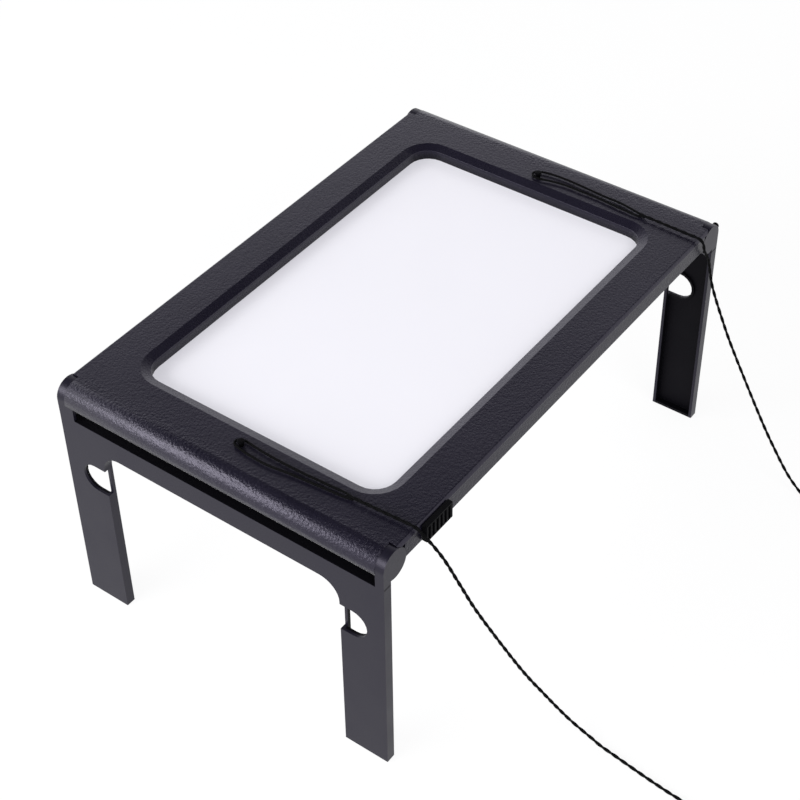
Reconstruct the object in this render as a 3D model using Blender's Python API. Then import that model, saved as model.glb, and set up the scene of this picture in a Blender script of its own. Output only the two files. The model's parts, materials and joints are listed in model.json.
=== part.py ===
"""Folding full-page magnifier: rectangular frame with a clear lens, two folding
leg panels, ribbed light switch, battery bay, four lamps and a neck cord.

All dimensions below are in millimetres and are turned into metres when a mesh is made.
X runs along the frame, Y across it, Z up from the surface it stands on.
"""
import math

import bmesh
import bpy
from mathutils import Vector

MM = 0.001

# ---- overall -----------------------------------------------------------------
TOP = 141.8                 # top surface
HALF_X = 152.75             # half length over the end rolls
HALF_Y = 100.0              # half width of the frame
ORIGIN_X = 0.0              # centre of the box around everything but the cord
ORIGIN_Y = -1.5
ORIGIN_Z = -2.9             # the surface it stands on, in this drawing
WALL = 1.9                  # shell thickness
GAP = 0.3                   # clearance between separate pieces

# ---- frame shell ----------------------------------------------------------------
ROLL_R = 8.8                # rolled short ends
PIVOT_X = HALF_X - ROLL_R
PIVOT_Z = TOP - ROLL_R
SKIRT_Z = TOP - 10.8        # lower edge of the frame's sides
EDGE_R = 2.0                # rounding of the long top edges
CAVITY_X = 133.6            # inside of the frame's end walls
CAVITY_Y = 98.0
ROLL_HALF_Y = 94.8          # the roll ends here, inside the leg cheeks
LUG_IN_Y = 92.6
LUG_R = 6.2

# ---- window ------------------------------------------------------------------------
WIN_X0, WIN_X1 = -119.3, 119.3
WIN_Y0, WIN_Y1 = -73.9, 73.9
WIN_R = 12.0
BEVEL_WIDE = 4.95           # shallow bevel round the window
BEVEL_DEEP = 1.8
WALL_LOW_Z = 134.7          # lower edge of the wall round the window
LENS_Z0, LENS_Z1 = 133.2, 134.4
LENS_EDGE = 4.0             # how far the lens runs under the frame

# ---- lower cover ---------------------------------------------------------------------
COVER_Z0, COVER_Z1 = 131.8, 133.0
COVER_LIP = 1.0             # the ledge under the lens is this much smaller than the window
SEAT_Z = 132.9              # floor of the shallow seat that the lens rests on
RIM_Z = 134.1               # top of the low rim round that seat
RIM_WALL = 1.2
LAMPS = [(-78.0, -88.0), (70.0, -88.0), (-70.0, 89.5), (70.0, 89.5)]
LAMP_HOLE_R = 2.9
SCREWS = [(-126.0, -90.0), (-96.0, -88.0), (30.0, -88.0), (105.0, -88.0),
          (126.0, -90.0), (126.0, 91.5), (0.0, 90.0), (-126.0, 91.5)]
SCREW_HOLE_R = 1.25
BOSS_R = 2.6

# ---- battery bay ---------------------------------------------------------------------
CELLS_X = [-48.0, -35.5, -23.0]
CELL_Y = -88.0
CELL_R = 5.8
CELL_Z0, CELL_Z1 = 131.9, 137.3
BAY_X = (-54.7, -16.3)
BAY_Y = (-94.3, -81.7)
DOOR_X = (-58.0, -14.0)
DOOR_Y = (-96.2, -79.8)
DOOR_Z = (130.4, 131.5)

# ---- switch ----------------------------------------------------------------------------
CAP_X = (-123.8, -103.6)
CAP_Y = (-103.0, -100.3)
CAP_Z = (131.4, 141.2)
STEM_X = (-116.2, -112.2)
SLOT_X = (-117.2, -108.2)

# ---- leg panels --------------------------------------------------------------------------
EAR_R = 8.6                 # hinge cheeks; the panel's outer face is tangent to them
EAR_IN_Y = 95.1
LEG_W = 26.0
LEG_DEEP = 5.4              # depth of the edge flange
LEG_PLATE = 1.8
FLANGE = 1.8
SLOT_LOW_Z = TOP - 18.9     # top edge of the panel, lower edge of the long slot
SLOT_FAR_Y = 90.3
BAR_LOW_Z = TOP - 31.6      # lower edge of the cross bar
FILLET = 11.4
NOTCH_Z = (80.2, 97.3)      # finger notches
NOTCH_DEEP = 15.7
NOTCH_RIM = 1.5
NOTCH_RIM_DEEP = 2.9
SPLAY = 1.6                 # the legs lean out this much at their feet
PIN_R = 1.50
BORE_R = 1.55
STUD_Y, STUD_Z = -97.5, 136.3
STUD_END = 153.9

# ---- cord -----------------------------------------------------------------------------------
CORD_R = 1.3                # the two strands twisted together
STRAND_R = 0.75             # one strand
PEGS = {"front": (-131.6, -1.5), "rear": (129.5, 2.0)}

PLASTIC = (0.045, 0.043, 0.055)


# =============================== helpers =======================================
def clear_scene():
    for obj in list(bpy.data.objects):
        bpy.data.objects.remove(obj, do_unlink=True)
    for coll in list(bpy.data.collections):
        bpy.data.collections.remove(coll)


def new_collection(name):
    coll = bpy.data.collections.new(name)
    bpy.context.scene.collection.children.link(coll)
    return coll


def material(name, color, rough=0.5, metal=0.0, alpha=1.0, glow=None):
    mat = bpy.data.materials.get(name)
    if mat is None:
        mat = bpy.data.materials.new(name)
        mat.use_nodes = True
        shader = mat.node_tree.nodes["Principled BSDF"]
        shader.inputs["Base Color"].default_value = (*color, 1.0)
        shader.inputs["Roughness"].default_value = rough
        shader.inputs["Metallic"].default_value = metal
        shader.inputs["Alpha"].default_value = alpha
        if glow is not None:
            shader.inputs["Emission Color"].default_value = (*glow, 1.0)
            shader.inputs["Emission Strength"].default_value = 0.3
    return mat


def build(name, verts, faces, coll, mat=None, origin=(0.0, 0.0, 0.0)):
    """One closed mesh object from points in millimetres; origin is its pivot."""
    mesh = bpy.data.meshes.new(name)
    local = [((x - origin[0]) * MM, (y - origin[1]) * MM, (z - origin[2]) * MM)
             for x, y, z in verts]
    mesh.from_pydata(local, [], faces)
    work = bmesh.new()
    work.from_mesh(mesh)
    bmesh.ops.recalc_face_normals(work, faces=work.faces)
    work.to_mesh(mesh)
    work.free()
    obj = bpy.data.objects.new(name, mesh)
    obj.location = ((origin[0] - ORIGIN_X) * MM, (origin[1] - ORIGIN_Y) * MM, (origin[2] - ORIGIN_Z) * MM)
    coll.objects.link(obj)
    if mat is not None:
        mesh.materials.append(mat)
    if coll is CUTS:
        obj.hide_render = True
        obj.display_type = 'WIRE'
    return obj


def loft(name, rings, coll, mat=None, origin=(0.0, 0.0, 0.0)):
    """Closed solid through rings of points that all have the same count."""
    count = len(rings[0])
    verts = [p for ring in rings for p in ring]
    faces = []
    for level in range(len(rings) - 1):
        for i in range(count):
            j = (i + 1) % count
            low = level * count
            faces.append((low + i, low + j, low + count + j, low + count + i))
    faces.append(tuple(reversed(range(count))))
    faces.append(tuple((len(rings) - 1) * count + i for i in range(count)))
    return build(name, verts, faces, coll, mat, origin)


def prism(name, outline, axis, low, high, coll, mat=None, origin=(0.0, 0.0, 0.0)):
    """Extrude an outline along an axis: (y, z) along X, (x, z) along Y, (x, y) along Z."""
    place = {"X": lambda p, d: (d, p[0], p[1]),
             "Y": lambda p, d: (p[0], d, p[1]),
             "Z": lambda p, d: (p[0], p[1], d)}[axis]
    rings = [[place(p, d) for p in outline] for d in (low, high)]
    return loft(name, rings, coll, mat, origin)


def box(name, xs, ys, zs, coll, mat=None, origin=(0.0, 0.0, 0.0)):
    x0, x1 = xs
    y0, y1 = ys
    return prism(name, [(x0, y0), (x1, y0), (x1, y1), (x0, y1)], "Z", zs[0], zs[1],
                 coll, mat, origin)


def arc(cx, cy, radius, start, end, steps):
    """Points of an arc, angles in degrees."""
    points = []
    for i in range(steps + 1):
        a = math.radians(start + (end - start) * i / steps)
        points.append((cx + radius * math.cos(a), cy + radius * math.sin(a)))
    return points


def circle(cx, cy, radius, steps):
    return arc(cx, cy, radius, 0.0, 360.0, steps)[:-1]


def rounded(x0, x1, y0, y1, radius, steps=6):
    return (arc(x1 - radius, y0 + radius, radius, -90, 0, steps)
            + arc(x1 - radius, y1 - radius, radius, 0, 90, steps)
            + arc(x0 + radius, y1 - radius, radius, 90, 180, steps)
            + arc(x0 + radius, y0 + radius, radius, 180, 270, steps))


def window_ring(grow, z):
    """The window's outline grown outwards by a distance, at a height."""
    outline = rounded(WIN_X0 - grow, WIN_X1 + grow, WIN_Y0 - grow, WIN_Y1 + grow, WIN_R + grow)
    return [(x, y, z) for x, y in outline]


def cut(obj, tool, how='DIFFERENCE'):
    step = obj.modifiers.new(how.title() + "_" + tool.name, 'BOOLEAN')
    step.operation = how
    step.solver = 'EXACT'
    step.object = tool


def tube(name, points, radius, coll, mat, sides=2):
    """Round tube along a route of points in millimetres."""
    data = bpy.data.curves.new(name, 'CURVE')
    data.dimensions = '3D'
    data.bevel_depth = radius * MM
    data.bevel_resolution = sides
    data.use_fill_caps = True
    data.render_resolution_u = 0
    spline = data.splines.new('POLY')
    spline.points.add(len(points) - 1)
    for knot, p in zip(spline.points, points):
        knot.co = ((p[0] - ORIGIN_X) * MM, (p[1] - ORIGIN_Y) * MM,
                   (p[2] - ORIGIN_Z) * MM, 1.0)
    obj = bpy.data.objects.new(name, data)
    coll.objects.link(obj)
    data.materials.append(mat)
    return obj


def smooth_route(points, step):
    """Even points along a smooth curve through a few chosen ones."""
    pts = [Vector(p) for p in points]
    pts = [pts[0] * 2 - pts[1]] + pts + [pts[-1] * 2 - pts[-2]]
    dense = []
    for i in range(1, len(pts) - 2):
        a, b, c, d = pts[i - 1], pts[i], pts[i + 1], pts[i + 2]
        for k in range(24):
            t = k / 24.0
            dense.append(0.5 * ((2 * b) + (c - a) * t + (2 * a - 5 * b + 4 * c - d) * t * t
                                + (3 * b - a - 3 * c + d) * t * t * t))
    dense.append(pts[-2])
    total = sum((dense[i + 1] - dense[i]).length for i in range(len(dense) - 1))
    count = max(2, round(total / step))
    out = [dense[0]]
    travelled = 0.0
    for i in range(len(dense) - 1):
        piece = (dense[i + 1] - dense[i]).length
        while len(out) < count and travelled + piece >= total * len(out) / count:
            t = (total * len(out) / count - travelled) / piece
            out.append(dense[i].lerp(dense[i + 1], t))
        travelled += piece
    out.append(dense[-1])
    return out


# =============================== frame ==============================================
def side_profile():
    """Outline in the X-Z plane: solid middle, end walls and the two end rolls."""
    inner = ROLL_R - WALL
    wall_x = CAVITY_X + 2.4
    plate = TOP - WALL
    right = (arc(PIVOT_X, PIVOT_Z, ROLL_R, 90, 0, 14)
             + [(HALF_X, SKIRT_Z), (HALF_X - WALL, SKIRT_Z)]
             + arc(PIVOT_X, PIVOT_Z, inner, 0, 90, 12)
             + [(wall_x, plate), (wall_x, SKIRT_Z)])
    left = [(-x, z) for x, z in reversed(right)]
    return right + left


def make_top_frame():
    mat = material("frame_plastic", PLASTIC, 0.45)
    frame = prism("top_frame", side_profile(), "Y", -HALF_Y, HALF_Y, PARTS, mat)
    across = ([(-HALF_Y, 120.0), (HALF_Y, 120.0)]
              + arc(HALF_Y - EDGE_R, TOP - EDGE_R, EDGE_R, 0, 90, 4)
              + arc(-HALF_Y + EDGE_R, TOP - EDGE_R, EDGE_R, 90, 180, 4))
    cut(frame, prism("cut_long_edges", across, "X", -170.0, 170.0, CUTS), 'INTERSECT')
    cut(frame, box("cut_cavity", (-CAVITY_X, CAVITY_X), (-CAVITY_Y, CAVITY_Y),
                   (125.0, TOP - WALL), CUTS))
    cut(frame, loft("add_window_wall", [window_ring(WALL, WALL_LOW_Z),
                                        window_ring(WALL, TOP - BEVEL_DEEP - WALL),
                                        window_ring(WALL + BEVEL_WIDE, TOP - 0.8)], CUTS), 'UNION')
    for i, (x, y) in enumerate(SCREWS):
        cut(frame, prism("add_boss_%d" % i, circle(x, y, BOSS_R, 12), "Z",
                         COVER_Z1 + GAP, TOP - 1.0, CUTS), 'UNION')
        cut(frame, prism("cut_boss_%d" % i, circle(x, y, SCREW_HOLE_R, 12), "Z",
                         COVER_Z1 - 1.0, TOP - 2.6, CUTS))
    cut(frame, loft("cut_window", [window_ring(0.0, WALL_LOW_Z - 2.0),
                                   window_ring(0.0, TOP - BEVEL_DEEP),
                                   window_ring(2.0 * BEVEL_WIDE, TOP + BEVEL_DEEP)], CUTS))
    for sx in (-1, 1):
        px = sx * PIVOT_X
        for sy in (-1, 1):
            tag = "%s_%s" % ("front" if sx < 0 else "rear", "near" if sy < 0 else "far")
            swing = arc(PIVOT_X, PIVOT_Z, EAR_R + 0.4, 270, 110, 14)
            clear_arc = [(sx * x, z) for x, z in swing]
            last = clear_arc[-1][0]
            corner = clear_arc + [(last, 150.0), (sx * 165.0, 150.0), (sx * 165.0, 118.0),
                                  (px, 118.0)]
            ys = sorted((sy * ROLL_HALF_Y, sy * 105.0))
            cut(frame, prism("cut_corner_" + tag, corner, "Y", ys[0], ys[1], CUTS))
            lug = arc(px, PIVOT_Z, LUG_R + 1.2, 0, 180, 10) + arc(px, PIVOT_Z, LUG_R, 180, 360, 10)
            ys = sorted((sy * LUG_IN_Y, sy * ROLL_HALF_Y))
            cut(frame, prism("add_lug_" + tag, lug, "Y", ys[0], ys[1], CUTS), 'UNION')
            ys = sorted((sy * (LUG_IN_Y - 3.0), sy * (ROLL_HALF_Y + 3.0)))
            cut(frame, prism("cut_lug_" + tag, circle(px, PIVOT_Z, BORE_R, 24), "Y",
                             ys[0], ys[1], CUTS))
    for tag, (x, y) in PEGS.items():
        cut(frame, prism("cut_peg_" + tag, circle(x, y, 1.3, 12), "Z", 130.0, 150.0, CUTS))
    cut(frame, box("cut_switch_slot", SLOT_X, (-HALF_Y - 3.0, -CAVITY_Y + 3.0),
                   (134.4, 137.8), CUTS))
    return frame


def make_lens():
    mat = material("lens_clear", (0.9, 0.9, 0.95), 0.1, 0.0, 0.3)
    outline = [(x, y) for x, y, z in window_ring(LENS_EDGE, 0.0)]
    prism("lens", outline, "Z", LENS_Z0, LENS_Z1, PARTS, mat)


def make_bottom_cover():
    mat = material("cover_plastic", PLASTIC, 0.5)
    ex, ey = CAVITY_X - GAP, CAVITY_Y - GAP
    cover = prism("bottom_cover", rounded(-ex, ex, -ey, ey, 1.0, 2), "Z", COVER_Z0, COVER_Z1,
                  PARTS, mat)
    rail_x = (-60.0, -12.0)
    cut(cover, box("add_rail_near", rail_x, (-97.4, -96.5), (129.5, 132.4), CUTS), 'UNION')
    cut(cover, box("add_lip_near", rail_x, (-96.8, -95.2), (129.5, 130.1), CUTS), 'UNION')
    cut(cover, box("add_rail_far", rail_x, (-79.5, -78.6), (129.5, 132.4), CUTS), 'UNION')
    cut(cover, box("add_lip_far", rail_x, (-80.9, -79.2), (129.5, 130.1), CUTS), 'UNION')
    cut(cover, box("add_door_stop", (-60.0, -58.4), (-97.0, -79.0), (129.9, 132.4), CUTS), 'UNION')
    outer = LENS_EDGE + 0.4 + RIM_WALL
    rim = [window_ring(outer, COVER_Z1 - 0.3), window_ring(outer, RIM_Z)]
    cut(cover, loft("add_lens_rim", rim, CUTS), 'UNION')
    seat = [window_ring(LENS_EDGE + 0.4, SEAT_Z), window_ring(LENS_EDGE + 0.4, 140.0)]
    cut(cover, loft("cut_lens_seat", seat, CUTS))
    opening = [window_ring(-COVER_LIP, 125.0), window_ring(-COVER_LIP, 140.0)]
    cut(cover, loft("cut_cover_window", opening, CUTS))
    cut(cover, box("cut_bay", BAY_X, BAY_Y, (131.0, 140.0), CUTS))
    for i, (x, y) in enumerate(LAMPS):
        cut(cover, prism("cut_lamp_%d" % i, circle(x, y, LAMP_HOLE_R, 16), "Z", 125.0, 140.0, CUTS))
    for i, (x, y) in enumerate(SCREWS):
        cut(cover, prism("cut_screw_%d" % i, circle(x, y, SCREW_HOLE_R, 12), "Z", 125.0, 140.0, CUTS))


def make_screws():
    mat = material("screw_steel", (0.5, 0.5, 0.52), 0.35, 1.0)
    for i, (x, y) in enumerate(SCREWS):
        shank = circle(x, y, 0.95, 10)
        head = circle(x, y, 2.1, 10)
        rings = [[(a, b, COVER_Z0 - 1.1) for a, b in head], [(a, b, COVER_Z0 - 0.3) for a, b in head],
                 [(a, b, COVER_Z0 - 0.3) for a, b in shank], [(a, b, TOP - 3.2) for a, b in shank]]
        loft("cover_screw_%d" % (i + 1), rings, PARTS, mat)


def make_lamps():
    board_mat = material("board_white", (0.75, 0.77, 0.75), 0.5)
    led_mat = material("led_lens", (0.9, 0.92, 0.95), 0.15, glow=(1.0, 1.0, 1.0))
    for i, (x, y) in enumerate(LAMPS):
        box("led_board_%d" % (i + 1), (x - 7.0, x + 7.0), (y - 4.5, y + 4.5), (134.6, 135.6),
            PARTS, board_mat)
        sizes = [(134.3, 2.3), (132.9, 2.3), (132.2, 2.0), (131.7, 1.5), (131.4, 0.8)]
        rings = [[(a, b, z) for a, b in circle(x, y, r, 16)] for z, r in sizes]
        loft("led_%d" % (i + 1), rings, PARTS, led_mat)


def make_battery_bay():
    body = material("holder_black", (0.03, 0.03, 0.03), 0.6)
    steel = material("cell_steel", (0.7, 0.7, 0.72), 0.25, 1.0)
    spring = material("contact_nickel", (0.75, 0.73, 0.68), 0.3, 1.0)
    holder = box("battery_holder", (-57.4, -13.6), (-95.8, -80.2), (133.3, 139.5), PARTS, body)
    cut(holder, box("cut_holder", (-55.6, -15.4), (-94.6, -81.4), (130.0, 138.3), CUTS))
    for i, x in enumerate(CELLS_X):
        rings = []
        for z, r in ((CELL_Z0, CELL_R - 0.5), (CELL_Z0 + 1.0, CELL_R), (CELL_Z1 - 0.3, CELL_R),
                     (CELL_Z1, CELL_R - 0.3)):
            rings.append([(a, b, z) for a, b in circle(x, CELL_Y, r, 24)])
        loft("battery_cell_%d" % (i + 1), rings, PARTS, steel)
    box("contact_strip_near", (-54.6, -16.4), (-92.6, -90.4), (137.6, 138.0), PARTS, spring)
    box("contact_strip_far", (-54.6, -16.4), (-85.6, -83.4), (137.6, 138.0), PARTS, spring)
    door_mat = material("door_plastic", PLASTIC, 0.5)
    door = box("battery_door", DOOR_X, DOOR_Y, DOOR_Z, PARTS, door_mat,
               (DOOR_X[0], CELL_Y, DOOR_Z[0]))
    for i in range(4):
        x = -27.0 + 2.6 * i
        cut(door, box("cut_grip_%d" % i, (x, x + 1.2), (-93.0, -83.0), (129.0, 130.8), CUTS))


def make_switch():
    black = material("switch_rubber", (0.012, 0.012, 0.014), 0.55)
    grey = material("switch_body", (0.12, 0.12, 0.13), 0.5)
    cap = box("switch_cap", CAP_X, CAP_Y, CAP_Z, PARTS, black, (STEM_X[0], CAP_Y[1], 136.0))
    for i in range(6):
        x = CAP_X[0] + 1.5 + 3.1 * i
        groove = [(x, -101.9), (x + 1.3, -101.9), (x + 1.7, -104.0), (x - 0.4, -104.0)]
        cut(cap, prism("cut_rib_%d" % i, groove, "Z", CAP_Z[0] + 0.9, CAP_Z[1] - 1.0, CUTS))
    cut(cap, box("add_stem", STEM_X, (-100.6, -97.3), (134.8, 137.4), CUTS), 'UNION')
    body = box("switch_body", (-119.6, -107.1), (-96.9, -90.5), (133.6, 139.0), PARTS, grey)
    cut(body, box("cut_switch_mouth", (-118.0, -108.4), (-98.0, -95.4), (134.6, 137.6), CUTS))


def make_wires():
    red = material("wire_red", (0.5, 0.03, 0.02), 0.5)
    black = material("wire_black", (0.02, 0.02, 0.02), 0.5)
    tube("wire_near", smooth_route([(-104.0, -94.5, 138.6), (-90.0, -94.8, 138.4),
                                    (-62.0, -96.9, 138.4), (-35.0, -96.9, 138.4),
                                    (-8.0, -96.9, 138.4), (30.0, -95.0, 138.0),
                                    (61.0, -95.0, 137.5)], 5.0), 0.5, PARTS, red, 1)
    tube("wire_far", smooth_route([(-121.0, -93.0, 137.8), (-123.2, -84.0, 137.8),
                                   (-125.5, -60.0, 137.4), (-125.5, 0.0, 137.4),
                                   (-125.5, 60.0, 137.4), (-121.0, 87.0, 137.4),
                                   (-105.0, 96.3, 137.4), (0.0, 96.3, 137.4),
                                   (60.0, 96.3, 137.4)], 6.0), 0.5, PARTS, black, 1)


# =============================== legs ===============================================
def leg_outline(inset):
    """Panel outline in the Y-Z plane: cross bar with a leg at each side, inset all round."""
    half = HALF_Y - inset
    inner = HALF_Y - LEG_W + inset
    top = SLOT_LOW_Z - inset
    bar = BAR_LOW_Z + inset
    radius = FILLET + inset
    foot = ORIGIN_Z + inset
    points = [(-half, foot), (-inner, foot)]
    points += arc(-inner + radius, bar - radius, radius, 180, 90, 8)
    points += arc(inner - radius, bar - radius, radius, 90, 0, 8)
    points += [(inner, foot), (half, foot), (half, top), (-half, top)]
    return points


def notch_outline(side, grow):
    """Half-stadium finger notch at a leg's inner edge, in the Y-Z plane."""
    z0, z1 = NOTCH_Z
    radius = (z1 - z0) / 2 + grow
    mid = (z0 + z1) / 2
    edge = HALF_Y - LEG_W
    centre = edge + NOTCH_DEEP - (z1 - z0) / 2
    start = edge - 3.0 if grow == 0 else edge + 0.9
    points = [(start, mid - radius)] + arc(centre, mid, radius, -90, 90, 10) + [(start, mid + radius)]
    return [(side * y, z) for y, z in points]


def lean_out(leg, sx):
    """Lean a finished panel's legs outwards, evenly from the slot down to the feet."""
    graph = bpy.context.evaluated_depsgraph_get()
    mesh = bpy.data.meshes.new_from_object(leg.evaluated_get(graph))
    leg.modifiers.clear()
    leg.data = mesh
    for vert in mesh.vertices:
        below = SLOT_LOW_Z - PIVOT_Z - vert.co.z / MM
        vert.co.x += sx * SPLAY * MM * max(0.0, below) / (SLOT_LOW_Z - ORIGIN_Z)


def make_leg_panel(name, sx):
    """Folding leg panel; sx is -1 for the front one and 1 for the rear one."""
    mat = material("leg_plastic", PLASTIC, 0.5)
    face = PIVOT_X + EAR_R

    def span(near, far):
        return sorted((sx * (face - near), sx * (face - far)))

    pivot = (sx * PIVOT_X, 0.0, PIVOT_Z)
    low, high = span(0.0, LEG_DEEP)
    leg = prism(name, leg_outline(0.0), "X", low, high, PARTS, mat, pivot)
    low, high = span(LEG_PLATE, LEG_DEEP + 4.0)
    cut(leg, prism("cut_tray_" + name, leg_outline(FLANGE), "X", low, high, CUTS))
    for sy in (-1, 1):
        tag = name + ("_near" if sy < 0 else "_far")
        low, high = span(LEG_PLATE - 0.7, NOTCH_RIM_DEEP)
        cut(leg, prism("add_rim_" + tag, notch_outline(sy, NOTCH_RIM), "X", low, high, CUTS), 'UNION')
        low, high = span(-3.0, 3.5)
        cut(leg, prism("cut_notch_" + tag, notch_outline(sy, 0.0), "X", low, high, CUTS))
        low, high = span(2.5, LEG_DEEP + 3.0)
        deep = [(y, z) for y, z in notch_outline(sy, 0.0)]
        edge = sy * (HALF_Y - LEG_W + FLANGE)
        deep[0] = (edge, deep[0][1])
        deep[-1] = (edge, deep[-1][1])
        cut(leg, prism("cut_notch_deep_" + tag, deep, "X", low, high, CUTS))
        ys = sorted((sy * EAR_IN_Y, sy * HALF_Y))
        xs = span(0.0, LEG_DEEP)
        cut(leg, box("add_post_" + tag, xs, ys, (SLOT_LOW_Z - 6.0, PIVOT_Z), CUTS), 'UNION')
        cut(leg, prism("add_ear_" + tag, circle(sx * PIVOT_X, PIVOT_Z, EAR_R, 40), "Y",
                       ys[0], ys[1], CUTS), 'UNION')
        ys = sorted((sy * (EAR_IN_Y - 2.0), sy * (HALF_Y - 1.2)))
        cut(leg, prism("cut_ear_" + tag, circle(sx * PIVOT_X, PIVOT_Z, BORE_R, 24), "Y",
                       ys[0], ys[1], CUTS))
    if sx > 0:
        cut(leg, prism("cut_stud", circle(STUD_Y, STUD_Z, 1.4, 16), "X", 149.5, 160.0, CUTS))
    cut(leg, box("add_shoulder_" + name, span(0.0, LEG_PLATE), (SLOT_FAR_Y, EAR_IN_Y + 1.0),
                 (SLOT_LOW_Z - 1.0, SKIRT_Z - GAP), CUTS), 'UNION')
    lean_out(leg, sx)


def make_hinge_pins():
    mat = material("pin_steel", (0.6, 0.6, 0.62), 0.3, 1.0)
    for tag, sx in (("front", -1), ("rear", 1)):
        for side, sy in (("near", -1), ("far", 1)):
            ys = sorted((sy * (LUG_IN_Y - 0.4), sy * (HALF_Y - 1.5)))
            prism("hinge_pin_%s_%s" % (tag, side), circle(sx * PIVOT_X, PIVOT_Z, PIN_R, 24), "Y",
                  ys[0], ys[1], PARTS, mat)


def make_rear_stud():
    """Small round stud standing out of the rear panel's near hinge cheek."""
    mat = material("stud_black", (0.012, 0.012, 0.014), 0.5)
    y, z = STUD_Y, STUD_Z
    face = PIVOT_X + EAR_R + 0.2
    sizes = [(149.9, 1.1), (face, 1.1), (face, 1.9), (STUD_END - 0.4, 1.9), (STUD_END, 1.4)]
    rings = [[(x, a, b) for a, b in circle(y, z, r, 16)] for x, r in sizes]
    loft("cheek_stud", rings, PARTS, mat)


# =============================== cord ================================================
def make_cord_pegs():
    mat = material("peg_black", (0.015, 0.015, 0.016), 0.5)
    for tag, (x, y) in PEGS.items():
        sizes = [(138.7, 1.45), (139.6, 1.45), (139.6, 1.0), (142.2, 1.0), (142.2, 1.3), (144.1, 1.3),
                 (144.1, 2.0), (144.7, 2.0), (145.0, 1.5)]
        rings = [[(a, b, z) for a, b in circle(x, y, r, 12)] for z, r in sizes]
        loft("cord_peg_" + tag, rings, PARTS, mat)


def make_cord():
    mat = material("cord_black", (0.012, 0.012, 0.013), 0.8)
    low = 142.9
    front = [(-131.2, -61.3, low), (-132.5, -47.8, low), (-134.0, -32.8, low), (-135.6, -20.8, low),
             (-135.5, -10.3, low), (-134.5, -2.8, low), (-133.7, 0.7, low), (-131.7, 1.8, low),
             (-129.7, 0.6, low), (-129.1, -2.6, low), (-129.8, -9.8, low), (-130.3, -19.8, low),
             (-130.3, -32.8, low), (-129.6, -47.8, low), (-128.8, -61.3, low)]
    tube("cord_loop_front", smooth_route(front, 2.2), STRAND_R, PARTS, mat)
    rear = [(131.0, -61.3, low), (133.0, -49.8, low), (133.4, -36.8, low), (134.4, -22.8, low),
            (134.8, -10.8, low), (134.0, -1.8, low), (132.3, 3.8, low), (129.7, 5.4, low),
            (127.2, 3.6, low), (127.0, -0.3, low), (128.8, -7.8, low), (130.0, -15.8, low),
            (130.0, -25.8, low), (130.0, -36.8, low), (129.0, -49.8, low), (128.4, -61.3, low)]
    tube("cord_loop_rear", smooth_route(rear, 2.2), STRAND_R, PARTS, mat)
    route = smooth_route(CORD_ROUTE[:8], 4.0) + smooth_route(CORD_ROUTE[7:31], 13.0)[1:]
    route += smooth_route(CORD_ROUTE[30:], 4.0)[1:]
    tube("neck_cord", route, CORD_R, PARTS, mat)


CORD_ROUTE = [
    (-130.0, -62.7, 143.6), (-129.2, -79.7, 143.6), (-128.5, -92.8, 143.6), (-128.3, -98.4, 143.6),
    (-128.0, -101.6, 142.6), (-127.2, -103.8, 139.0), (-125.0, -106.4, 133.8),
    (-121.3, -111.2, 122.2), (-117.2, -116.7, 105.7), (-111.5, -124.3, 83.6),
    (-99.6, -140.3, 44.5), (-91.9, -150.7, 23.1), (-85.8, -159.3, 7.0), (-83.8, -166.5, 0.4),
    (-84.6, -175.0, -1.2), (-86.5, -186.0, -1.3), (-90.6, -231.0, -1.3),
    (-87.2, -265.0, -1.3), (-65.2, -294.0, -1.3), (-26.1, -306.0, -1.3), (23.9, -297.0, -1.3),
    (68.8, -268.0, -1.3), (102.0, -228.0, -1.3), (122.0, -194.0, -1.3), (128.0, -182.5, -0.6),
    (130.4, -172.1, 6.1), (132.5, -161.1, 18.1), (135.0, -148.0, 34.8),
    (139.5, -124.0, 69.6), (141.6, -113.6, 86.7), (143.1, -105.6, 102.0), (143.0, -102.7, 112.0),
    (140.2, -102.3, 121.6), (136.6, -102.3, 127.9), (132.2, -102.5, 134.0), (129.7, -102.5, 140.4),
    (128.8, -100.2, 143.4), (128.9, -93.6, 143.6), (129.3, -78.2, 143.6), (129.7, -63.2, 143.6),
]

clear_scene()
PARTS = new_collection("folding_magnifier")
CUTS = new_collection("construction")
make_top_frame()
make_lens()
make_bottom_cover()
make_screws()
make_lamps()
make_battery_bay()
make_switch()
make_wires()
make_leg_panel("front_leg_panel", -1)
make_leg_panel("rear_leg_panel", 1)
make_hinge_pins()
make_rear_stud()
make_cord_pegs()
make_cord()
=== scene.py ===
"""Looks for the folding full-page magnifier: charcoal moulded frame and leg panels, page lens,
ribbed light switch, battery bay and lamps under the frame, and a twisted neck cord."""

import json
import math
import random

import bmesh
import bpy
from mathutils import Matrix, Vector


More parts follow.
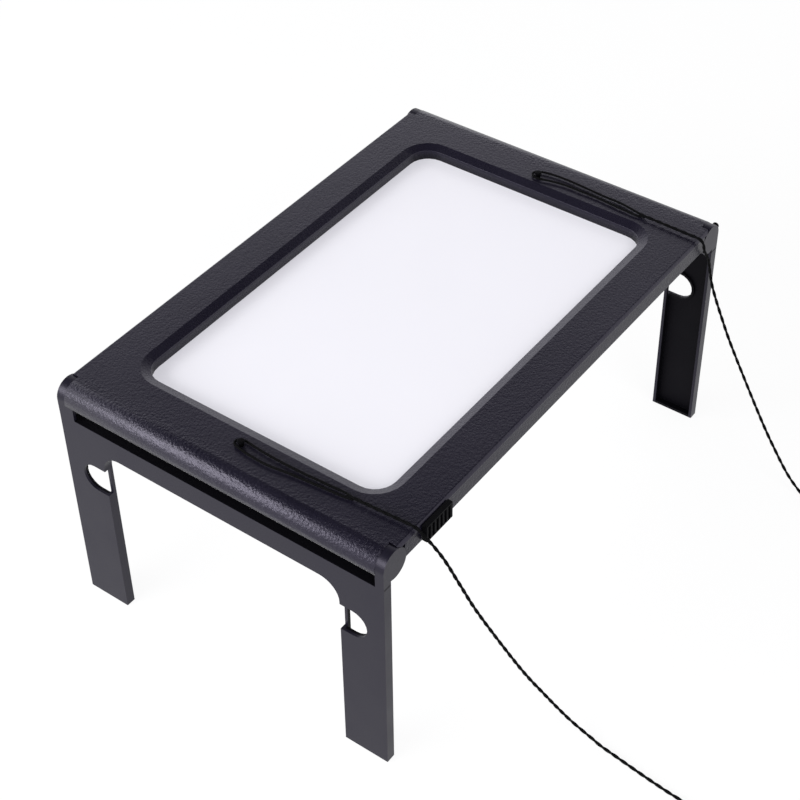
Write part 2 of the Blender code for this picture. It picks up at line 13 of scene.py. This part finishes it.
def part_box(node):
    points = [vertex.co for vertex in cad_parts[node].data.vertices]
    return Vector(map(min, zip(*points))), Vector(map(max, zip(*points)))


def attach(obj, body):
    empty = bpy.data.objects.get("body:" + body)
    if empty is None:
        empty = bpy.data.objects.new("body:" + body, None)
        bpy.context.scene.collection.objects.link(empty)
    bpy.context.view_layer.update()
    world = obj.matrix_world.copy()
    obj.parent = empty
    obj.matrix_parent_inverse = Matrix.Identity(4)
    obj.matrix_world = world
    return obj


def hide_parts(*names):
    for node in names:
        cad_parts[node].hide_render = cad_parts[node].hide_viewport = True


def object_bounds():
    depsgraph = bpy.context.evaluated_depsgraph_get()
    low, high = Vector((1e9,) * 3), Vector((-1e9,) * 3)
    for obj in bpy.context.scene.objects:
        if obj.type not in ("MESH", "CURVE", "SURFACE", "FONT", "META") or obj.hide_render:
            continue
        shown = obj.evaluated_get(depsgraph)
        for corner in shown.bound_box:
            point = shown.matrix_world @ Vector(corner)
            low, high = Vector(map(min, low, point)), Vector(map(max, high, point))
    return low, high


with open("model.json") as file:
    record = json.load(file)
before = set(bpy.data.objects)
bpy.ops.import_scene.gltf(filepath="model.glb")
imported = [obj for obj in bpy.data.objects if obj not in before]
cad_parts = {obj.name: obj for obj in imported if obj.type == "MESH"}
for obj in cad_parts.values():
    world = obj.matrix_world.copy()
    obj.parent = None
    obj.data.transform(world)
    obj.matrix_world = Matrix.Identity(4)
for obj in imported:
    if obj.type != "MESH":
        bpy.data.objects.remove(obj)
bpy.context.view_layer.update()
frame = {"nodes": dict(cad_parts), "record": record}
MM = 0.001
SHIFT = Vector((0.0, 1.5, 2.9))         # origin of the part's drawing and cord routes, in millimetres
LEG_FACE_X = 0.15275                    # outer face of the leg panels at the hinge
LEG_SKIN_X = 0.1512                     # just outside the floor of their trays
LEG_SHELF_Z = 0.1258                    # their top edge, under the long slot
LEG_TRAY_Y = (0.0757, 0.0983)           # where a leg's tray lies across the frame
LEG_BAR_Z = 0.1149                      # and from which height it runs along the cross bar
LEG_SPLAY = 0.0016                      # how much further out they stand at the feet
ROLL_START_X = 0.1435                   # the frame's flat top ends here in its two end rolls
WALL_TOP_Z = 0.1425                     # its skirts and the wall round the lens reach up to here
PIVOT = (0.14395, 0.1359)               # hinge axis, out from the middle and up
CORNER_R = 0.0090                       # the frame's corners are cut back this far round the hinges
CORNER_TIGHT_R = 0.00870                # and are shown a little closer to the cheeks
CORNER_REACH = 0.0005                   # how far beyond the hinge axis that cut still counts
ROLL_END = 0.0948                       # half length of the frame's end rolls
ROLL_GROWTH = 0.00022                   # and how much longer each end is shown
WALL_GAP = 0.0003                       # build gap between the lens and the wall round it
WALL_REST = 0.00002                     # what is left of it when shown
ON_PLANE = 0.0001                       # a point this near a flat face lies on it
ON_CUT = 0.00005                        # and this near the round cut, on that
WINDOW_HALF = (0.1290, 0.0830)          # half sizes of a rectangle just outside the window's bevel
USUAL_CREASE = 32.0                     # degrees: edges sharper than this are rounded
WINDOW_CREASE = 14.0                    # and these by the window, whose shallow bevel is crisp
FACET_ANGLE = 0.6                       # degrees: flatter edges between facets are joined up
FACET_MERGE = 2e-6                      # and points this close become one
FLAT_GRAIN = 0.5                        # the grain's strength on the flat top, beside the rolls
GRAIN_FADE = (0.006, 0.001)             # it grows from this far before their start to this far past
LEG_MARGIN = 0.0004                     # tolerance of the leg panels' matt parts with painted shade
COOL_TINT = (0.87, 0.82, 1.0, 1.0)      # reflections on the mouldings are slightly violet


# =============================== camera ============================================
def make_camera():
    """The photograph's viewing angle."""
    az, el, roll = (math.radians(a) for a in (-52.876, 42.686, -1.255))
    back = Vector((math.sin(az) * math.cos(el), -math.cos(az) * math.cos(el), math.sin(el)))
    right = Vector((0, 0, 1)).cross(back).normalized()
    up = back.cross(right)
    x_axis = math.cos(roll) * right + math.sin(roll) * up
    y_axis = -math.sin(roll) * right + math.cos(roll) * up
    data = bpy.data.cameras.new("camera")
    data.lens = 77.751
    data.sensor_width = 36.0
    data.clip_start = 0.01
    data.clip_end = 50.0
    cam = bpy.data.objects.new("camera", data)
    bpy.context.scene.collection.objects.link(cam)
    place = Matrix((x_axis, y_axis, back)).transposed().to_4x4()
    place.translation = Vector((-0.55102, -0.41143, 0.70873))
    cam.matrix_world = place
    bpy.context.scene.camera = cam


# =============================== node helpers =======================================
class Nodes:
    """Short way of writing a material's node tree."""

    def __init__(self, name):
        self.mat = bpy.data.materials.new(name)
        self.mat.use_nodes = True
        self.tree = self.mat.node_tree
        self.shader = self.tree.nodes["Principled BSDF"]

    def add(self, kind, inputs=None, **props):
        node = self.tree.nodes.new("ShaderNode" + kind)
        for key, value in props.items():
            setattr(node, key, value)
        for key, value in (inputs or {}).items():
            self.feed(node.inputs[key], value)
        return node

    def feed(self, socket, value):
        if isinstance(value, bpy.types.NodeSocket):
            self.tree.links.new(value, socket)
        else:
            socket.default_value = value

    def set(self, **values):
        for key, value in values.items():
            self.feed(self.shader.inputs[key.replace("_", " ")], value)

    def coords(self):
        return self.add("TexCoord").outputs["Object"]

    def noise(self, scale, detail=2.0, rough=0.5, vector=None):
        node = self.add("TexNoise", {"Scale": scale, "Detail": detail, "Roughness": rough})
        self.feed(node.inputs["Vector"], vector or self.coords())
        return node.outputs["Fac"]

    def ramp(self, fac, low, high, start=0.0, end=1.0):
        """Map Range of a factor."""
        node = self.add("MapRange", {"From Min": start, "From Max": end,
                                     "To Min": low, "To Max": high, "Value": fac})
        return node.outputs["Result"]

    def mix(self, fac, a, b):
        node = self.add("Mix", data_type='RGBA')
        self.feed(node.inputs["Factor"], fac)
        self.feed(node.inputs["A"], a)
        self.feed(node.inputs["B"], b)
        return node.outputs["Result"]

    def maths(self, how, a, b):
        node = self.add("Math", operation=how)
        self.feed(node.inputs[0], a)
        self.feed(node.inputs[1], b)
        return node.outputs["Value"]

    def bump(self, height, depth, strength=1.0):
        node = self.add("Bump", {"Strength": strength, "Distance": depth, "Height": height})
        return node.outputs["Normal"]


def rgb(r, g, b):
    return (r, g, b, 1.0)


# =============================== materials ===========================================
def grained_plastic():
    """Charcoal moulding: fine leathery grain, slight colour and gloss variation, calmer on the
    flat top, and less glossy on the skirts and the wall round the lens."""
    dark, light = rgb(0.0056, 0.0049, 0.0104), rgb(0.0084, 0.0074, 0.0140)
    rough, grain, cell = 0.29, 0.00016, 760.0
    n = Nodes("charcoal_grain")
    where = n.coords()
    pebbles = n.add("TexVoronoi", {"Scale": cell, "Vector": where}, feature='SMOOTH_F1')
    pebbles.inputs["Smoothness"].default_value = 0.5
    fine = n.noise(1500.0, 3.0, 0.6, where)
    patch = n.noise(26.0, 3.0, 0.55, where)
    wipe = n.noise(9.0, 2.0, 0.5, where)
    height = n.maths('ADD', n.maths('MULTIPLY', pebbles.outputs["Distance"], -1.0),
                     n.maths('MULTIPLY', fine, 0.9))
    n.set(Base_Color=n.mix(n.ramp(patch, 0.0, 1.0, 0.3, 0.7), dark, light),
          Roughness=n.ramp(n.maths('ADD', fine, wipe), rough - 0.05, rough + 0.08, 0.7, 1.3))
    axes = n.add("SeparateXYZ", {"Vector": where})
    out = n.maths('ABSOLUTE', axes.outputs["X"], 0.0)
    between = n.maths('LESS_THAN', out, ROLL_START_X)
    n.set(Normal=n.bump(height, grain,
                        n.ramp(out, FLAT_GRAIN, 1.0, ROLL_START_X - GRAIN_FADE[0],
                               ROLL_START_X + GRAIN_FADE[1])))
    walls = n.maths('MULTIPLY', between, n.maths('LESS_THAN', axes.outputs["Z"], WALL_TOP_Z))
    n.set(Specular_IOR_Level=n.ramp(walls, 0.4, 0.14))
    n.set(Specular_Tint=COOL_TINT)
    return n.mat


def smooth_plastic(name, color, rough, gloss=0.5):
    """Plain black moulding: flow lines and a few handling marks."""
    n = Nodes(name)
    where = n.coords()
    fine = n.noise(900.0, 3.0, 0.6, where)
    patch = n.noise(60.0, 2.0, 0.5, where)
    lighter = tuple(c * 1.5 + 0.0008 for c in color)
    n.set(Base_Color=n.mix(patch, rgb(*color), rgb(*lighter)),
          Roughness=n.ramp(patch, rough - 0.06, rough + 0.08, 0.3, 0.7),
          Normal=n.bump(fine, 0.00003))
    n.set(Specular_IOR_Level=gloss)
    n.set(Specular_Tint=COOL_TINT)
    return n.mat


def leg_plastic():
    """Satin outside; the trays and the shelf under the long slot are left matt, and their colour is
    darkened as painted shade for the shade that falls in these recesses.
    """
    n = Nodes("charcoal_satin")
    where = n.coords()
    fine = n.noise(1100.0, 3.0, 0.6, where)
    patch = n.noise(40.0, 2.0, 0.5, where)
    axes = n.add("SeparateXYZ", {"Vector": where})
    out = n.maths('ABSOLUTE', axes.outputs["X"], 0.0)
    lean = n.ramp(axes.outputs["Z"], LEG_SPLAY, 0.0, 0.0, LEG_SHELF_Z)
    depth = n.maths('SUBTRACT', out, lean)
    across = n.maths('ABSOLUTE', n.maths('SUBTRACT', axes.outputs["Y"], SHIFT.y * MM), 0.0)
    within = n.maths('MAXIMUM', n.maths('GREATER_THAN', across, LEG_TRAY_Y[0]),
                     n.maths('GREATER_THAN', axes.outputs["Z"], LEG_BAR_Z))
    within = n.maths('MULTIPLY', within, n.maths('LESS_THAN', across, LEG_TRAY_Y[1]))
    below = n.maths('LESS_THAN', axes.outputs["Z"], LEG_SHELF_Z + LEG_MARGIN)
    within = n.maths('MULTIPLY', within, below)
    tray_shade_mask = n.maths('MULTIPLY', within, n.maths('LESS_THAN', depth, LEG_SKIN_X))
    level = n.maths('ABSOLUTE', n.maths('SUBTRACT', axes.outputs["Z"], LEG_SHELF_Z), 0.0)
    shelf = n.maths('MULTIPLY', n.maths('LESS_THAN', level, LEG_MARGIN),
                    n.maths('LESS_THAN', out, LEG_FACE_X - LEG_MARGIN))
    dark = n.maths('MAXIMUM', tray_shade_mask, shelf)
    face = n.mix(patch, rgb(0.0056, 0.0050, 0.0098), rgb(0.0080, 0.0072, 0.0130))
    # painted shade: the trays and the shelf under the slot are drawn near black
    n.set(Base_Color=n.mix(dark, face, rgb(0.0012, 0.0011, 0.0018)),
          Roughness=n.ramp(n.maths('ADD', patch, dark), 0.32, 0.6, 0.3, 1.5),
          Normal=n.bump(fine, 0.00003))
    n.set(Specular_IOR_Level=n.ramp(dark, 0.22, 0.08))
    n.set(Specular_Tint=COOL_TINT)
    return n.mat


def lens_sheet():
    """Milky page lens: fine round grooves about its middle, slightly lavender, with a faint painted
    glow that keeps it evenly pale.
    """
    n = Nodes("lens_sheet")
    low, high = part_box("lens")
    mid = (low + high) / 2
    place = n.add("Mapping", {"Location": (-mid.x, -mid.y, 0.0), "Vector": n.coords()})
    rings = n.add("TexWave", {"Scale": 330.0, "Distortion": 0.0, "Vector": place.outputs["Vector"]},
                  wave_type='RINGS', rings_direction='Z', wave_profile='SAW')
    soft = n.noise(14.0, 2.0, 0.5, n.coords())
    n.set(Base_Color=n.mix(soft, rgb(0.44, 0.436, 0.453), rgb(0.46, 0.456, 0.473)),
          Roughness=n.ramp(soft, 0.32, 0.4),
          Normal=n.bump(rings.outputs["Fac"], 0.00001, 0.3))
    n.set(Alpha=0.93)
    # painted light: the lens glows faintly by itself, though it is no lamp
    n.set(Emission_Color=rgb(0.93, 0.92, 1.0))
    n.set(Emission_Strength=0.42)
    n.set(IOR=1.49)
    return n.mat


def brushed_metal(name, color, rough, scale=(60.0, 2000.0, 60.0)):
    """Plated steel with fine lines drawn out along the axis of the smallest scale."""
    n = Nodes(name)
    stretch = n.add("Mapping", {"Scale": scale, "Vector": n.coords()})
    lines = n.noise(1.0, 4.0, 0.6, stretch.outputs["Vector"])
    spots = n.noise(300.0, 2.0, 0.5, n.coords())
    n.set(Base_Color=n.mix(spots, rgb(*color), rgb(*(c * 0.75 for c in color))),
          Roughness=n.ramp(lines, rough - 0.08, rough + 0.12, 0.3, 0.7),
          Normal=n.bump(lines, 0.00002))
    n.set(Metallic=1.0)
    return n.mat


def circuit_board():
    """Green lacquer over copper tracks."""
    n = Nodes("circuit_board")
    where = n.coords()
    tracks = n.add("TexBrick", {"Scale": 420.0, "Mortar Size": 0.08, "Vector": where})
    n.set(Base_Color=n.mix(tracks.outputs["Fac"], rgb(0.012, 0.09, 0.04), rgb(0.03, 0.17, 0.08)),
          Roughness=n.ramp(n.noise(400.0, 2.0, 0.5, where), 0.3, 0.45),
          Normal=n.bump(tracks.outputs["Fac"], 0.00003))
    return n.mat


def lamp_resin():
    """Pale yellow resin of an unlit lamp."""
    n = Nodes("lamp_resin")
    where = n.coords()
    glow = n.noise(500.0, 2.0, 0.5, where)
    n.set(Base_Color=n.mix(glow, rgb(0.82, 0.72, 0.32), rgb(0.9, 0.86, 0.6)),
          Roughness=n.ramp(glow, 0.14, 0.22), Normal=n.bump(glow, 0.00002))
    n.set(Coat_Weight=0.4)
    return n.mat


def insulated(name, color):
    """Plain wire insulation."""
    n = Nodes(name)
    marks = n.noise(700.0, 2.0, 0.5, n.coords())
    n.set(Base_Color=n.mix(marks, rgb(*color), rgb(*(c * 1.4 + 0.002 for c in color))),
          Roughness=n.ramp(marks, 0.38, 0.5), Normal=n.bump(marks, 0.00002))
    return n.mat


def braided_cord():
    """Fine round braid: crossing yarns, nearly black."""
    n = Nodes("braided_cord")
    where = n.coords()
    yarn = n.noise(2600.0, 2.0, 0.5, where)
    tone = n.noise(90.0, 2.0, 0.5, where)
    n.set(Base_Color=n.mix(tone, rgb(0.0006, 0.0006, 0.0008), rgb(0.002, 0.002, 0.0024)),
          Roughness=n.ramp(yarn, 0.7, 0.9), Normal=n.bump(yarn, 0.0001))
    n.set(Specular_IOR_Level=0.06)
    return n.mat


# =============================== mesh helpers ========================================
def new_object(name, data):
    """An object in the scene's collection."""
    obj = bpy.data.objects.new(name, data)
    bpy.context.scene.collection.objects.link(obj)
    return obj


def dress(obj, mat, body, node):
    """Gives a piece its material and body, and shows it instead of a CAD node."""
    obj.data.materials.clear()
    obj.data.materials.append(mat)
    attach(obj, body)
    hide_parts(node)


def edit_mesh(mesh, change):
    """Runs one change on a mesh opened for editing."""
    work = bmesh.new()
    work.from_mesh(mesh)
    change(work)
    work.to_mesh(mesh)
    work.free()


def apply_modifiers(obj):
    """Puts the finished mesh in the object's place, so no modifier is left on it."""
    graph = bpy.context.evaluated_depsgraph_get()
    done = bpy.data.meshes.new_from_object(obj.evaluated_get(graph))
    old = obj.data
    obj.modifiers.clear()
    obj.data = done
    bpy.data.meshes.remove(old)


def hug(mesh):
    """Closes two of the frame's build gaps: on the lens below, and on the hinge cheeks outside."""
    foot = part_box("lens")[1].z
    for vert in mesh.vertices:
        if abs(vert.co.z - foot - WALL_GAP) < ON_PLANE:
            vert.co.z = foot + WALL_REST
        side = abs(vert.co.y - SHIFT.y * MM)
        around = Vector((abs(vert.co.x) - PIVOT[0], vert.co.z - PIVOT[1]))
        inward = side > ROLL_END - ON_PLANE and around.x < CORNER_REACH
        if inward and abs(around.length - CORNER_R) < ON_CUT:
            around *= CORNER_TIGHT_R / CORNER_R
            vert.co.x = math.copysign(PIVOT[0] + around.x, vert.co.x)
            vert.co.z = PIVOT[1] + around.y
        if abs(side - ROLL_END) < ON_PLANE:
            vert.co.y += math.copysign(ROLL_GROWTH, vert.co.y)


def kept_sharp(edge):
    """The frame's edges that meet another piece closely, left without rounding."""
    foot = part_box("lens")[1].z
    if all(abs(v.co.z - foot) < ON_PLANE for v in edge.verts):
        return True
    if all(abs(math.hypot(abs(v.co.x) - PIVOT[0], v.co.z - PIVOT[1]) - CORNER_TIGHT_R) < ON_CUT
           and abs(v.co.x) < PIVOT[0] + CORNER_REACH for v in edge.verts):
        return True
    return all(abs(abs(v.co.y - SHIFT.y * MM) - ROLL_END - ROLL_GROWTH) < ON_PLANE
               for v in edge.verts)


def by_window(edge):
    """Whether an edge lies on the bevel round the window."""
    half_x, half_y = WINDOW_HALF
    return all(abs(v.co.x) < half_x and abs(v.co.y - SHIFT.y * MM) < half_y for v in edge.verts)


def join_facets(work):
    """Merges points that coincide, and faces that lie in one plane."""
    bmesh.ops.remove_doubles(work, verts=work.verts, dist=FACET_MERGE)
    bmesh.ops.dissolve_limit(work, angle_limit=math.radians(FACET_ANGLE), verts=work.verts,
                             edges=work.edges)


def mark_round_edges(work, is_frame):
    """Weights the edges that the bevel rounds: those with a crease, apart from close fits."""
    weight = work.edges.layers.float.new("bevel_weight_edge")
    for edge in work.edges:
        if len(edge.link_faces) == 2 and not (is_frame and kept_sharp(edge)):
            crease = WINDOW_CREASE if is_frame and by_window(edge) else USUAL_CREASE
            edge[weight] = float(edge.calc_face_angle(0.0) > math.radians(crease))


def round_edges(obj, width):
    """Rounds the weighted edges by a width in millimetres, and levels the shading of flat faces."""
    bevel = obj.modifiers.new("edges", 'BEVEL')
    bevel.width = width * MM
    bevel.segments = 2
    bevel.limit_method = 'WEIGHT'
    bevel.use_clamp_overlap = True
    level = obj.modifiers.new("normals", 'WEIGHTED_NORMAL')
    level.mode = 'FACE_AREA'
    level.weight = 90
    level.keep_sharp = False
    bpy.context.view_layer.update()
    apply_modifiers(obj)


def refined(node, mat, body, width):
    """A CAD node's mesh with its facets joined and its edges rounded, shown in the node's place."""
    src = frame["nodes"][node].data
    is_frame = node == "top_frame"
    mesh = bpy.data.meshes.new(node + "_moulded")
    mesh.from_pydata([v.co[:] for v in src.vertices], [],
                     [tuple(p.vertices) for p in src.polygons])
    edit_mesh(mesh, join_facets)
    if is_frame:
        hug(mesh)
    edit_mesh(mesh, lambda work: mark_round_edges(work, is_frame))
    obj = new_object(node + "_moulded", mesh)
    for poly in mesh.polygons:
        poly.use_smooth = True
    if width > 0:
        round_edges(obj, width)
    dress(obj, mat, body, node)


# =============================== cord =================================================
CORD_STEP = 0.0011                      # spacing of the points along a cord
STRAND_R = 0.00057                      # one of the neck cord's two strands
STRAND_OFFSET = 0.00033                 # how far each lies from the cord's middle
STRAND_PITCH = 0.0105                   # length of one full twist
LOOP_R = 0.00062                        # the single strand of the loops
CORD_ROUTE = [
    (-130.0, -62.7, 143.6), (-129.2, -79.7, 143.6), (-128.5, -92.8, 143.6), (-128.3, -98.4, 143.6),
    (-128.0, -101.6, 142.6), (-127.2, -103.8, 139.0), (-125.0, -106.4, 133.8),
    (-121.3, -111.2, 122.2), (-117.2, -116.7, 105.7), (-111.5, -124.3, 83.6),
    (-99.6, -140.3, 44.5), (-91.9, -150.7, 23.1), (-85.8, -159.3, 7.0), (-83.8, -166.5, 0.4),
    (-84.6, -175.0, -1.2), (-86.5, -186.0, -1.3), (-90.6, -231.0, -1.3),
    (-87.2, -265.0, -1.3), (-65.2, -294.0, -1.3), (-26.1, -306.0, -1.3), (23.9, -297.0, -1.3),
    (68.8, -268.0, -1.3), (102.0, -228.0, -1.3), (122.0, -194.0, -1.3), (128.0, -182.5, -0.6),
    (130.4, -172.1, 6.1), (132.5, -161.1, 18.1), (135.0, -148.0, 34.8),
    (139.5, -124.0, 69.6), (141.6, -113.6, 86.7), (143.1, -105.6, 102.0), (143.0, -102.7, 112.0),
    (140.2, -102.3, 121.6), (136.6, -102.3, 127.9), (132.2, -102.5, 134.0), (129.7, -102.5, 140.4),
    (128.8, -100.2, 143.4), (128.9, -93.6, 143.6), (129.3, -78.2, 143.6), (129.7, -63.2, 143.6),
]
LOOP_Z = 142.9                          # height at which both loops lie on the frame
FRONT_LOOP = [
    (-130.2, -66.5), (-130.7, -64.0), (-131.2, -61.3), (-132.5, -47.8), (-134.0, -32.8),
    (-135.6, -20.8), (-135.5, -10.3), (-134.5, -2.8), (-133.7, 0.7), (-131.7, 1.8),
    (-129.7, 0.6), (-129.1, -2.6), (-129.8, -9.8), (-130.3, -19.8), (-130.3, -32.8),
    (-129.6, -47.8), (-128.8, -61.3), (-129.3, -64.0), (-129.7, -66.5),
]
REAR_LOOP = [
    (129.9, -66.5), (130.3, -64.0), (131.0, -61.3), (133.0, -49.8), (133.4, -36.8),
    (134.4, -22.8), (134.8, -10.8), (134.0, -1.8), (132.3, 3.8), (129.7, 5.4), (127.2, 3.6),
    (127.0, -0.3), (128.8, -7.8), (130.0, -15.8), (130.0, -25.8), (130.0, -36.8), (129.0, -49.8),
    (128.4, -61.3), (129.1, -64.0), (129.5, -66.5),
]


def smooth_route(points, step):
    """Points in metres, evenly spaced along a smooth curve through route points in millimetres."""
    pts = [(Vector(p) + SHIFT) * MM for p in points]
    pts = [pts[0] * 2 - pts[1]] + pts + [pts[-1] * 2 - pts[-2]]
    dense = []
    parts = 40
    for i in range(1, len(pts) - 2):
        a, b, c, d = pts[i - 1], pts[i], pts[i + 1], pts[i + 2]
        for k in range(parts):
            t = k / parts
            dense.append(0.5 * ((2 * b) + (c - a) * t + (2 * a - 5 * b + 4 * c - d) * t * t
                                + (3 * b - a - 3 * c + d) * t * t * t))
    dense.append(pts[-2])
    total = sum((dense[i + 1] - dense[i]).length for i in range(len(dense) - 1))
    count = max(2, round(total / step))
    out = [dense[0]]
    travelled = 0.0
    for i in range(len(dense) - 1):
        piece = (dense[i + 1] - dense[i]).length
        while len(out) < count and travelled + piece >= total * len(out) / count:
            t = (total * len(out) / count - travelled) / piece
            out.append(dense[i].lerp(dense[i + 1], t))
        travelled += piece
    out.append(dense[-1])
    return out


def steady_frames(path):
    """Two directions square to the path at each point, carried along without twisting."""
    frames = []
    side = None
    for i in range(len(path)):
        ahead = (path[min(i + 1, len(path) - 1)] - path[max(i - 1, 0)]).normalized()
        if side is None:
            side = ahead.cross(Vector((0, 0, 1)))
            if side.length < 0.1:
                side = ahead.cross(Vector((1, 0, 0)))
        side = (side - ahead * side.dot(ahead)).normalized()
        frames.append((side, ahead.cross(side)))
    return frames


def strand_mesh(name, lines, radius, sides=8, wobble=0.0):
    """Closed round tubes along several lines of points, with a slightly uneven skin."""
    draw = random.Random(7)
    verts, faces = [], []
    for line in lines:
        frames = steady_frames(line)
        start = len(verts)
        for p, (a, b) in zip(line, frames):
            r = radius * (1 + wobble * draw.uniform(-1, 1))
            for k in range(sides):
                turn = math.tau * k / sides
                verts.append(p + (a * math.cos(turn) + b * math.sin(turn)) * r)
        for i in range(len(line) - 1):
            low = start + i * sides
            for k in range(sides):
                m = (k + 1) % sides
                faces.append((low + k, low + m, low + sides + m, low + sides + k))
        faces.append(tuple(start + k for k in reversed(range(sides))))
        faces.append(tuple(start + (len(line) - 1) * sides + k for k in range(sides)))
    mesh = bpy.data.meshes.new(name)
    mesh.from_pydata(verts, [], faces)
    edit_mesh(mesh, lambda work: bmesh.ops.recalc_face_normals(work, faces=work.faces))
    for poly in mesh.polygons:
        poly.use_smooth = True
    return mesh


def make_cords(mat):
    """The neck cord: two strands twisted together, ending in a single-strand loop at each peg."""
    path = smooth_route(CORD_ROUTE, CORD_STEP)
    frames = steady_frames(path)
    lines = []
    for phase in (0.0, math.pi):
        line = []
        for i, (p, (a, b)) in enumerate(zip(path, frames)):
            turn = math.tau * i * CORD_STEP / STRAND_PITCH + phase
            line.append(p + (a * math.cos(turn) + b * math.sin(turn)) * STRAND_OFFSET)
        lines.append(line)
    rope = new_object("twisted_cord", strand_mesh("twisted_cord", lines, STRAND_R))
    dress(rope, mat, "frame", "neck_cord")
    for tag, loop in (("front", FRONT_LOOP), ("rear", REAR_LOOP)):
        line = smooth_route([(x, y, LOOP_Z) for x, y in loop], CORD_STEP)
        ring = new_object("bight_" + tag, strand_mesh("bight_" + tag, [line], LOOP_R, sides=10,
                                                  wobble=0.04))
        dress(ring, mat, "frame", "cord_loop_" + tag)


# =============================== stage ==================================================
def area_light(name, spot, target, size, power):
    """A white rectangular light at a spot, turned towards a target."""
    data = bpy.data.lights.new(name, 'AREA')
    data.shape = 'RECTANGLE'
    data.size, data.size_y = size
    data.energy = power
    lamp = new_object(name, data)
    lamp.location = spot
    lamp.rotation_euler = (Vector(target) - Vector(spot)).to_track_quat('-Z', 'Y').to_euler()


FLOOR_HALF = 6                          # half the floor's side
FLOOR_GAP = 0.0002                      # the floor lies just under the feet
# Brightness of the surroundings at the sine of each height above the horizon.
SKY_STOPS = ((0.0, 1.9), (0.3, 1.8), (0.48, 1.28), (0.6, 0.88), (0.68, 0.5), (0.74, 0.08),
             (0.8, 0.02))


def make_world():
    """Studio surroundings: pale near the horizon, dark overhead, dimmer on one side."""
    world = bpy.data.worlds.new("studio")
    world.use_nodes = True
    tree = world.node_tree
    back = tree.nodes["Background"]
    where = tree.nodes.new("ShaderNodeTexCoord").outputs["Generated"]
    split = tree.nodes.new("ShaderNodeSeparateXYZ")
    tree.links.new(where, split.inputs[0])
    height = tree.nodes.new("ShaderNodeValToRGB")
    tree.links.new(split.outputs["Z"], height.inputs["Fac"])
    ramp = height.color_ramp.elements
    while len(ramp) < len(SKY_STOPS):
        ramp.new(0.5)
    for element, (place, level) in zip(ramp, SKY_STOPS):
        element.position = place
        element.color = rgb(level, level, level * 1.04)
    side = tree.nodes.new("ShaderNodeVectorMath")
    side.operation = 'DOT_PRODUCT'
    tree.links.new(where, side.inputs[0])
    side.inputs[1].default_value = (-0.6, 0.8, 0.0)
    share = tree.nodes.new("ShaderNodeMapRange")
    tree.links.new(side.outputs["Value"], share.inputs["Value"])
    for key, value in (("From Min", -0.9), ("From Max", 0.4), ("To Min", 0.65), ("To Max", 1.0)):
        share.inputs[key].default_value = value
    tree.links.new(height.outputs["Color"], back.inputs["Color"])
    tree.links.new(share.outputs["Result"], back.inputs["Strength"])
    bpy.context.scene.world = world


def make_stage():
    """Surroundings, a white floor that mostly glows by itself, and two soft lights."""
    bpy.context.scene.view_settings.view_transform = 'Standard'
    make_world()
    mesh = bpy.data.meshes.new("floor")
    half = FLOOR_HALF
    mesh.from_pydata([(-half, -half, 0), (half, -half, 0), (half, half, 0), (-half, half, 0)],
                     [], [(0, 1, 2, 3)])
    floor = new_object("floor", mesh)
    floor.location.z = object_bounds()[0][2] - FLOOR_GAP
    n = Nodes("floor_white")
    n.set(Base_Color=rgb(0.1, 0.1, 0.1), Roughness=0.9)
    n.set(Specular_IOR_Level=0.0)
    n.set(Emission_Color=rgb(1.0, 1.0, 1.0))
    n.set(Emission_Strength=0.9)
    mesh.materials.append(n.mat)
    area_light("fill", (-0.6, -1.6, 1.7), (0, 0, 0.1), (1.2, 1.2), 22)
    area_light("key", (-1.25, 0.7, 0.68), (0, 0, 0.1), (1.5, 0.7), 28)


# =============================== assembly ===============================================
EDGE_WIDTHS = {"frame_plastic": 0.35, "clear_lens": 0.2}    # rounding of edges, in millimetres
SMALL_EDGE_WIDTH = 0.12                                     # and on every other part


def body_of_node(node):
    """The body that the record puts a node on."""
    for body, members in frame["record"]["behaviour"]["bodies"].items():
        if node in members:
            return body
    raise KeyError(node)


def dress_nodes():
    """Makes the cords and a refined copy of every other CAD node, each with its material."""
    charcoal = grained_plastic()
    satin = leg_plastic()
    black = smooth_plastic("plain_black", (0.0006, 0.0006, 0.0008), 0.6, 0.05)
    steel = brushed_metal("zinc_steel", (0.5, 0.5, 0.51), 0.32)
    nickel = brushed_metal("nickel", (0.62, 0.61, 0.59), 0.22, (300.0, 300.0, 2000.0))
    looks = {"frame_plastic": charcoal, "clear_lens": lens_sheet(), "screw_steel": steel,
             "board_green": circuit_board(), "led_yellow": lamp_resin(), "switch_plastic": black,
             "cell_steel": nickel, "wire_red": insulated("red_wire", (0.35, 0.01, 0.01)),
             "wire_black": insulated("black_wire", (0.01, 0.01, 0.01)), "pin_steel": steel,
             "cord_black": braided_cord()}
    make_cords(looks["cord_black"])
    for part in frame["record"]["subparts"]:
        node, slot = part["node"], part["material_slot"]
        if slot == "cord_black":
            continue
        width = EDGE_WIDTHS.get(slot, SMALL_EDGE_WIDTH)
        if node in ("wire_near", "wire_far"):
            width = 0.0
        look = looks[slot]
        if node.endswith("leg_panel"):
            look = satin
        elif node == "cheek_stud":
            look = black
        refined(node, look, body_of_node(node), width)


make_camera()
make_stage()
dress_nodes()
